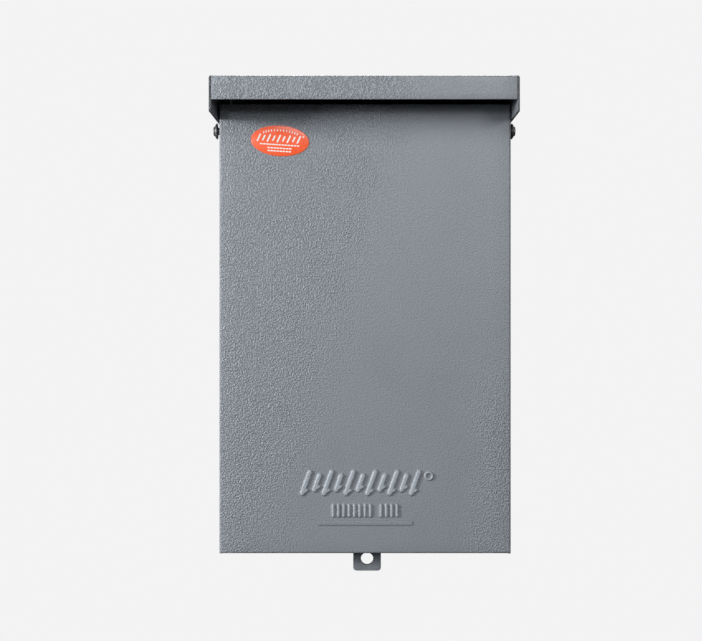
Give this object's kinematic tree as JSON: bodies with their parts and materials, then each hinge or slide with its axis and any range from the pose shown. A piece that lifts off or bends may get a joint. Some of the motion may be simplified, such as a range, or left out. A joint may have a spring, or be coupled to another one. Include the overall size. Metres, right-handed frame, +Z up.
{
  "type": "air conditioner disconnect box",
  "caption": "Weatherproof steel wall box with a lift-up cover under a rain hood, a padlock hasp and a pull-out switch head inside.",
  "frame": {"origin": "on the wall face, at the middle of the box's width and of its height from the hood to the cover's bottom edge", "axes": "+Z up, +Y into the wall, the cover faces -Y"},
  "size_m": [0.1678, 0.114, 0.2717],
  "materials": {
    "enclosure_paint": "grey wrinkle powder coat on steel sheet",
    "orange_label": "printed vinyl label",
    "white_label": "matte paper label",
    "dark_phenolic": "moulded phenolic",
    "zinc_screws": "zinc plated steel",
    "stainless": "stainless steel",
    "grey_shield": "vulcanised fibre board",
    "tinned_copper": "tin plated copper",
    "lug_aluminium": "extruded and cut",
    "spring_steel": "blued spring steel",
    "black_plastic": "moulded, fine texture"
  },
  "bodies": {
    "enclosure": {"back_box": "enclosure_paint", "bottom_plate": "enclosure_paint", "rain_hood": "enclosure_paint", "switch_base": "dark_phenolic", "base_screws": "zinc_screws", "hood_rivets": "enclosure_paint", "bottom_rivets": "enclosure_paint", "hinge_screws": "stainless", "hinge_washers": "stainless", "hinge_nuts": "zinc_screws", "dead_front": "grey_shield", "dead_front_screws": "zinc_screws", "line_contacts": "tinned_copper", "load_contacts": "tinned_copper", "line_lugs": "lug_aluminium", "load_lugs": "lug_aluminium", "line_lug_screws": "lug_aluminium", "load_lug_screws": "lug_aluminium", "jaw_springs": "spring_steel", "contact_screws": "zinc_screws", "ground_bar": "lug_aluminium", "ground_screws": "zinc_screws", "ground_mount_screws": "zinc_screws"},
    "cover": {"cover": "enclosure_paint", "badge": "orange_label", "inner_label": "white_label"},
    "pullout": {"pullout_head": "black_plastic", "pullout_blades": "tinned_copper", "blade_screws": "zinc_screws"}
  },
  "joints": [
    {"name": "cover_hinge", "type": "hinge", "parent": "enclosure", "child": "cover", "pos_m": [0, -0.082, 0.1045], "axis": [-1, 0, 0], "range_deg": [0, 95]},
    {"name": "pullout_slide", "type": "slide", "parent": "enclosure", "child": "pullout", "axis": [0, -1, 0], "range_m": [0, 0.018]}
  ]
}
